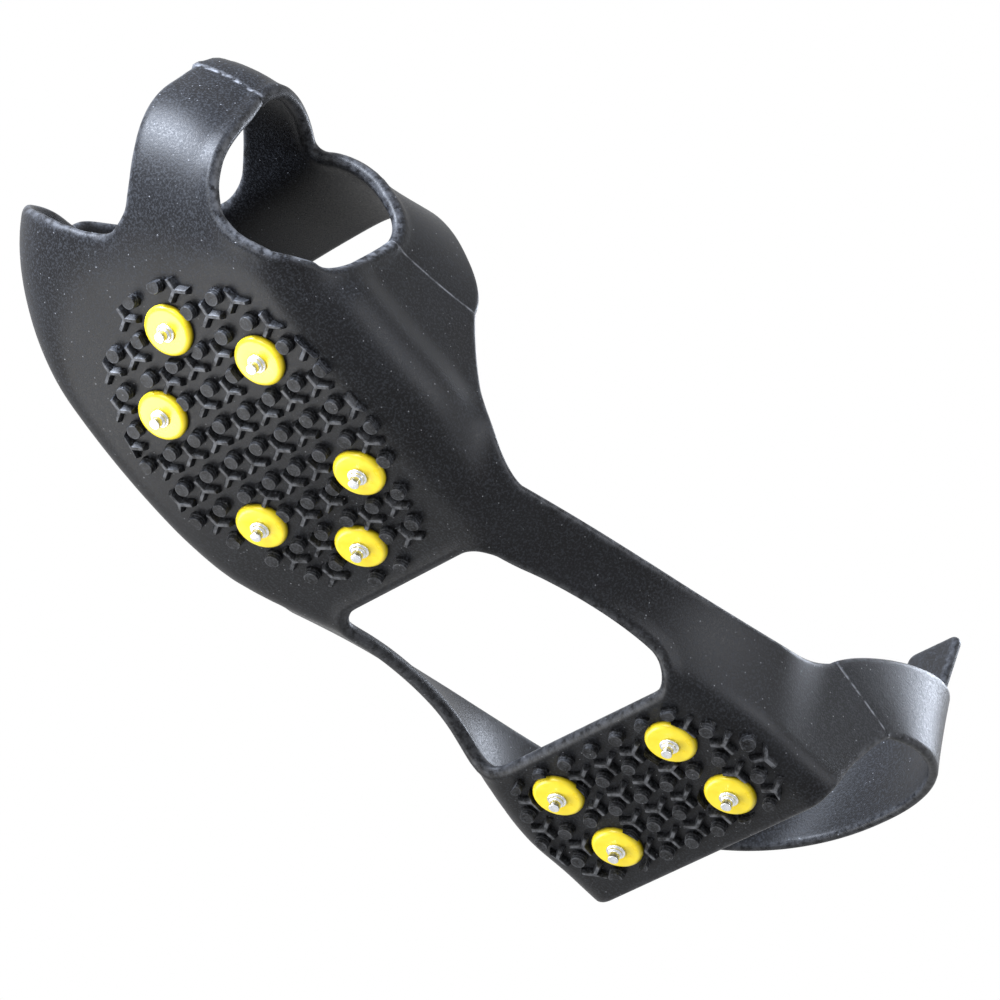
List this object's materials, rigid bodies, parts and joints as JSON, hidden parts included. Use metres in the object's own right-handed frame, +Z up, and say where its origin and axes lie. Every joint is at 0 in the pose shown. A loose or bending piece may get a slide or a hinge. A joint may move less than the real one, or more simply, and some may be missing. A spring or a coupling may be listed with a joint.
{
  "type": "ice cleat",
  "caption": "Stretch-on rubber ice cleat: a moulded harness with toe and heel straps, pull tab and treaded soles, and steel studs set in round plastic discs.",
  "frame": {"origin": "under the middle of the cleat's outline, on the ground plane through the stud tips", "axes": "+X to the toe, +Y to the outer side of the left foot it is shaped for, +Z up from the ground to the shoe"},
  "size_m": [0.2982, 0.097, 0.1239],
  "materials": {
    "rubber": "moulded matte, fine grain",
    "stud_steel": "turned, bright",
    "disc_plastic": "moulded, slightly glossy yellow"
  },
  "bodies": {
    "forefoot": {"forefoot_sole": "rubber", "forefoot_tread": "rubber", "stud_toe": "stud_steel", "stud_front_inner": "stud_steel", "stud_front_outer": "stud_steel", "stud_mid_inner": "stud_steel", "stud_mid_outer": "stud_steel", "stud_tail": "stud_steel", "disc_toe": "disc_plastic", "disc_front_inner": "disc_plastic", "disc_front_outer": "disc_plastic", "disc_mid_inner": "disc_plastic", "disc_mid_outer": "disc_plastic", "disc_tail": "disc_plastic"},
    "heel": {"heel_sole": "rubber", "heel_tread": "rubber", "stud_heel_front_inner": "stud_steel", "stud_heel_front_outer": "stud_steel", "stud_heel_rear_inner": "stud_steel", "stud_heel_rear_outer": "stud_steel", "disc_heel_front_inner": "disc_plastic", "disc_heel_front_outer": "disc_plastic", "disc_heel_rear_inner": "disc_plastic", "disc_heel_rear_outer": "disc_plastic"},
    "toe_strap": {"toe_strap": "rubber"},
    "heel_strap": {"heel_strap": "rubber"},
    "pull_tab": {"pull_tab": "rubber"}
  },
  "joints": [
    {"name": "arch_flex", "type": "hinge", "parent": "forefoot", "child": "heel", "pos_m": [-0.01409, 0.0025, 0.0259], "axis": [0, 1, 0], "range_deg": [0, 30], "stiffness_Nm_per_rad": 0.6},
    {"name": "toe_stretch", "type": "slide", "parent": "forefoot", "child": "toe_strap", "axis": [-0.27, 0, 0.9629], "range_m": [0, 0.012], "stiffness_N_per_m": 400},
    {"name": "heel_strap_swing", "type": "hinge", "parent": "heel", "child": "heel_strap", "pos_m": [-0.11209, 0.0025, 0.0395], "axis": [0, -1, 0], "range_deg": [0, 30], "stiffness_Nm_per_rad": 1.5},
    {"name": "tab_fold", "type": "hinge", "parent": "heel_strap", "child": "pull_tab", "pos_m": [-0.14909, 0.0025, 0.0939], "axis": [0, -1, 0], "range_deg": [0, 75], "stiffness_Nm_per_rad": 0.05}
  ]
}
